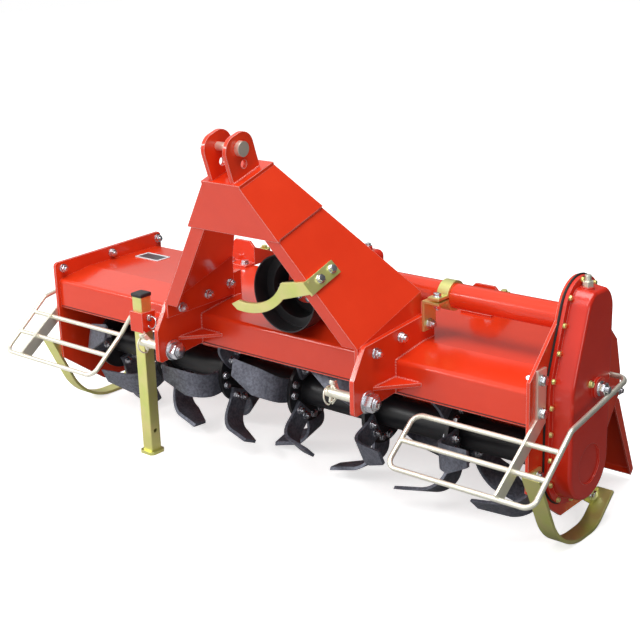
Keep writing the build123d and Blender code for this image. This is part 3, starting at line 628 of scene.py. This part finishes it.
# Two bolts through each tine's shank: heads on the tine, nuts on the flange's other face
def make_tine_bolts():
    flanges, pitch = 7, 236
    stations, phase, station_turn, flange_turn = 6, 76, 60, -20
    bolt_r, bolt_side = 66, 14
    head_face, nut_face = -5, 13
    heads, nuts = [], []
    middle = at(25, ROTOR_Y, ROTOR_Z)
    for index in range(flanges):
        flange = Matrix.Translation(middle + ALONG_X * (index - flanges // 2) * pitch * MM)
        for station in range(stations):
            hand = 1 if station % 2 == 0 else -1
            bare_end = flanges - 1 if hand > 0 else 0
            if index == bare_end:
                continue
            degrees = phase + station_turn * station + flange_turn * index
            turn = flange @ Matrix.Rotation(math.radians(degrees), 4, "X")
            for side in (-bolt_side, bolt_side):
                head = Vector((hand * head_face, side, bolt_r)) * MM
                nut = Vector((hand * nut_face, side, bolt_r)) * MM
                heads.append(turn @ facing(head, ALONG_X * -hand, side))
                nuts.append(turn @ facing(nut, ALONG_X * hand, side))
    finish_piece("tine_heads", repeat(m10_head, heads), silver_zinc, "rotor")
    finish_piece("tine_nuts", repeat(m10_nut, nuts), silver_zinc, "rotor")


# Bolts of the rod brackets, and a washer with a split ring on each rod's lower pin
def make_rod_bolts():
    feet = [(x + side, 353, 410) for x in (-ROD_X, ROD_X) for side in (-26, 26)]
    fasten("bracket_bolts", m12_head, feet, UP)
    bm = bmesh.new()
    add_block(bm, radius=14 * MM, low=0, high=2.5 * MM, sides=28, chamfer=0.6 * MM)
    tilted = Matrix.Translation((0, 0, 5 * MM)) @ Matrix.Rotation(0.4, 4, "X")
    add_ring(bm, radius=9 * MM, wire=1.4 * MM, place=tilted)
    shape = as_mesh("rod_washer", bm)
    lug_face, pin_y, pin_z = -26, 482.5, 162.3
    for side, x in (("left", -ROD_X), ("right", ROD_X)):
        bm = repeat(shape, [facing(at(x + lug_face, pin_y, pin_z), -ALONG_X)])
        finish_piece(f"rod_washer_{side}", bm, silver_zinc, f"rod_{side}")


# Blank rating plate on the deck: a pale frame round a dark field, with four rivets
def make_blank_plate():
    plate_x, plate_y, plate_z, rivet_z = -664, 273, 404.9, 405.5
    bm, top = new_plate(94 * MM, 54 * MM, 1.6 * MM, corner=5 * MM)
    bmesh.ops.inset_individual(bm, faces=[top], thickness=7 * MM, depth=-0.4 * MM)
    top.material_index = 1
    move_to(bm, at(plate_x, plate_y, plate_z))
    plate = finish_piece("blank_plate", bm, plate_rim, "frame")
    plate.data.materials.append(plate_face)
    bm = bmesh.new()
    add_block(bm, radius=2.6 * MM, low=0, high=1.8 * MM, sides=16, chamfer=1.2 * MM)
    shape = as_mesh("rivet", bm)
    spots = [(plate_x + x, plate_y + y, rivet_z) for x in (-43, 43) for y in (-23, 23)]
    places = [facing(at(*spot), UP) for spot in spots]
    finish_piece("plate_rivets", repeat(shape, places), silver_zinc, "frame")


# Locking pin of the stand: a head with a wire ring on one side of the sleeve and its tip on the other.
# The stem goes through a mesh first, so that the ring's points come last.
def make_stand_pin():
    bm = bmesh.new()
    add_block(bm, radius=5.4 * MM, low=17.6 * MM, high=30 * MM, sides=24, chamfer=1 * MM)
    add_block(bm, radius=9 * MM, low=23 * MM, high=29 * MM, sides=28, chamfer=2 * MM)
    add_block(bm, radius=5.4 * MM, low=-34 * MM, high=-17.6 * MM, sides=24, chamfer=1 * MM)
    stem = as_mesh("stand_pin_stem", bm)
    bm = bmesh.new()
    bm.from_mesh(stem)
    bmesh.ops.transform(bm, matrix=Matrix.Rotation(math.pi / 2, 4, "Y"), verts=bm.verts)
    hang = Matrix.Translation((33 * MM, 0, -12 * MM)) @ Matrix.Rotation(math.radians(75), 4, "X")
    add_ring(bm, radius=15 * MM, wire=1.8 * MM, place=hang)
    move_to(bm, at(STAND_X, STAND_Y, 373))
    finish_piece("stand_pin", bm, silver_zinc, "frame")


# Brim of the stand's plastic cap, a little wider than the tube
def make_cap_brim():
    bm, top = new_plate(39 * MM, 39 * MM, 9 * MM, corner=5 * MM)
    round_off(bm, list(top.edges), offset=3 * MM, segments=3)
    move_to(bm, at(STAND_X, STAND_Y, 431.5))
    finish_piece("cap_brim", bm, black_plastic, "stand")


# A weld bead: overlapping drops of five sizes along a line of points
def add_weld(bm, points, radius):
    spacing = radius * 1.15
    for start, end in zip(points, points[1:]):
        count = max(2, round((end - start).length / spacing))
        for k in range(count):
            size = radius * (0.85 + 0.06 * ((7 * k) % 5))
            place = Matrix.Translation(start.lerp(end, k / count))
            bmesh.ops.create_icosphere(bm, subdivisions=2, radius=size, matrix=place)


# Welds of the gussets, hitch plates, mast cap's top and edges, drive tube and stand sleeve
def make_welds():
    lines = []
    gusset_top, gusset_reach = 349, 66
    for x in (HITCH_RIGHT[1], HITCH_LEFT[1]):
        lines.append([(x, -78, gusset_top), (x, 0, gusset_top), (x + gusset_reach, 0, gusset_top)])
    for x in (HITCH_RIGHT[1], HITCH_RIGHT[0], HITCH_LEFT[1], HITCH_LEFT[0]):
        lines.append([(x, 0, 314), (x, 0, 388), (x, 110, 404), (x, 148, 404)])
    lid_thickness, lid_length = 8, 88
    lid_front = Vector((0, mast_top.y, mast_top.z)) + ALONG_X.cross(web_along) * lid_thickness
    for x in (63, 137):
        corner = lid_front + ALONG_X * x
        lines.append([corner, corner + web_along * lid_length])
    cap_height = 287.5
    cap_edge = [on_web(17, cap_height, 0), on_web(171, cap_height, 0)]
    lines.append(cap_edge)
    lines.append([Vector((2 * GEARBOX_X - p.x, p.y, p.z)) for p in cap_edge])
    tube_r = 29
    circle = round_about(tube_r, count=24) + [(tube_r, 0)]
    for x in (188, 750):
        lines.append([(x, DRIVE_Y + y, DRIVE_Z + z) for y, z in circle])
    lines.append([(-360, 0, 337), (-360, 0, 362), (-324, 0, 362), (-324, 0, 337)])
    bm = bmesh.new()
    for line in lines:
        add_weld(bm, [at(*point) for point in line], radius=3 * MM)
    finish_piece("welds", bm, red_sheet, "frame")


# Painted shade: a thin black strip along the lip, just above its folded edge, where the gap at the hem
# lies in shadow
def make_lip_gap_shade():
    bm = new_box(1494 * MM, 1.6 * MM, 2.2 * MM)
    round_off(bm, list(bm.edges), offset=0.5 * MM, segments=2)
    move_to(bm, at(0, 0, 313.5))
    finish_piece("lip_gap_shade", bm, gasket_rubber, "frame")


make_rim_nuts()
make_hitch_bolts()
make_pin_nuts()
make_lynch_pins()
make_hook_bolts()
make_gearbox_bolts()
make_breather()
make_case_bolts()
make_gasket_bead()
make_end_bolts()
make_tine_bolts()
make_rod_bolts()
make_blank_plate()
make_stand_pin()
make_cap_brim()
make_welds()
make_lip_gap_shade()


# Studio: pale floor, soft lamps and the photograph's camera

BRIGHT_FROM = (-0.62, -0.68, 0.38)
MIDDLE = (0, 0, 0.4)


# Brighter towards the front left, darker towards the back right, by a direction or a place
def bright_side(tree, place, dark_at, bright_at, dark, bright):
    along = add(tree, "ShaderNodeVectorMath", {"operation": "DOT_PRODUCT"})
    tree.links.new(place, along.inputs[0])
    along.inputs[1].default_value = BRIGHT_FROM
    share = add(tree, "ShaderNodeMapRange", {"clamp": True, "interpolation_type": "SMOOTHSTEP"},
                Value=along.outputs["Value"], From_Min=dark_at, From_Max=bright_at,
                To_Min=dark, To_Max=bright)
    return share.outputs["Result"]


# A floor that the camera sees nearly white; for all other rays its colour is a painted shade, darker
# towards the back right, so it throws less light from the dark side
def make_floor():
    bm = bmesh.new()
    bmesh.ops.create_grid(bm, x_segments=1, y_segments=1, size=14.0)
    floor = bpy.data.objects.new("floor", as_mesh("floor", bm))
    bpy.context.scene.collection.objects.link(floor)
    material, tree, shader = new_material("studio_floor")
    by_camera = add(tree, "ShaderNodeLightPath").outputs["Is Camera Ray"]
    painted_floor_shade = bright_side(tree, object_place(tree), dark_at=-1.2, bright_at=1.2, dark=0.0, bright=1.0)
    # Painted shade: the floor's colour for all but camera rays runs from pale at the front left to dark
    # at the back right
    unseen = blend(tree, painted_floor_shade, (0.1, 0.1, 0.1), (0.72, 0.72, 0.72))
    colour = blend(tree, by_camera, unseen, (0.86, 0.86, 0.86))
    tree.links.new(colour, shader.inputs["Base Color"])
    shader.inputs["Roughness"].default_value = 0.9
    shader.inputs["Specular IOR Level"].default_value = 0.1
    glow = add(tree, "ShaderNodeEmission", Color=(1, 1, 1, 1), Strength=0.64)
    lit = add(tree, "ShaderNodeAddShader")
    tree.links.new(shader.outputs[0], lit.inputs[0])
    tree.links.new(glow.outputs[0], lit.inputs[1])
    seen = add(tree, "ShaderNodeMixShader")
    tree.links.new(by_camera, seen.inputs[0])
    tree.links.new(shader.outputs[0], seen.inputs[1])
    tree.links.new(lit.outputs[0], seen.inputs[2])
    tree.links.new(seen.outputs[0], tree.nodes["Material Output"].inputs["Surface"])
    floor.data.materials.append(material)


# White to the camera, and a soft light from the bright side to everything else
def make_world():
    world = bpy.data.worlds.new("studio")
    world.use_nodes = True
    bpy.context.scene.world = world
    tree = world.node_tree
    soft = tree.nodes["Background"]
    soft.inputs["Color"].default_value = (1.0, 0.985, 0.97, 1.0)
    around = add(tree, "ShaderNodeTexCoord").outputs["Generated"]
    strength = bright_side(tree, around, dark_at=-0.5, bright_at=0.95, dark=0.1, bright=0.9)
    tree.links.new(strength, soft.inputs["Strength"])
    white = add(tree, "ShaderNodeBackground", Color=(1, 1, 1, 1), Strength=1.0)
    path = add(tree, "ShaderNodeLightPath")
    mix = add(tree, "ShaderNodeMixShader")
    tree.links.new(path.outputs["Is Camera Ray"], mix.inputs[0])
    tree.links.new(soft.outputs[0], mix.inputs[1])
    tree.links.new(white.outputs[0], mix.inputs[2])
    tree.links.new(mix.outputs[0], tree.nodes["World Output"].inputs["Surface"])


def make_lamp(name, place, target, width, height, power):
    lamp = bpy.data.lights.new(name, "AREA")
    lamp.shape = "RECTANGLE"
    lamp.size = width
    lamp.size_y = height
    lamp.energy = power
    holder = bpy.data.objects.new(name, lamp)
    bpy.context.scene.collection.objects.link(holder)
    holder.location = place
    holder.rotation_euler = (Vector(target) - Vector(place)).to_track_quat("-Z", "Y").to_euler()


def make_camera():
    place = at(2031, -2162, 1350)
    azimuth, elevation, roll = (math.radians(degrees) for degrees in (40.37, 17.74, -1.78))
    camera = bpy.data.cameras.new("camera")
    camera.sensor_width = 36.0
    camera.lens = 72.65
    holder = bpy.data.objects.new("camera", camera)
    bpy.context.scene.collection.objects.link(holder)
    turn = Matrix.Rotation(azimuth, 4, "Z") @ Matrix.Rotation(math.pi / 2 - elevation, 4, "X")
    holder.matrix_world = Matrix.Translation(place) @ turn @ Matrix.Rotation(roll, 4, "Z")
    bpy.context.scene.camera = holder


make_floor()
make_world()
make_lamp("overhead", (0.7, -0.5, 3.4), MIDDLE, width=2.0, height=2.0, power=70.0)
make_lamp("front_left", (-2.7, -2.87, 2.4), MIDDLE, width=2.0, height=0.4, power=52.0)
make_lamp("front_high", (0.4, -2.5, 3.1), MIDDLE, width=1.2, height=1.2, power=14.0)
make_lamp("back_left", (-3.2, 2.6, 2.9), MIDDLE, width=3.0, height=3.0, power=8.0)
make_lamp("right", (3.4, -1.2, 0.9), (0.8, 0, 0.35), width=1.2, height=1.2, power=12.0)
make_camera()
bpy.context.scene.view_settings.view_transform = "Standard"
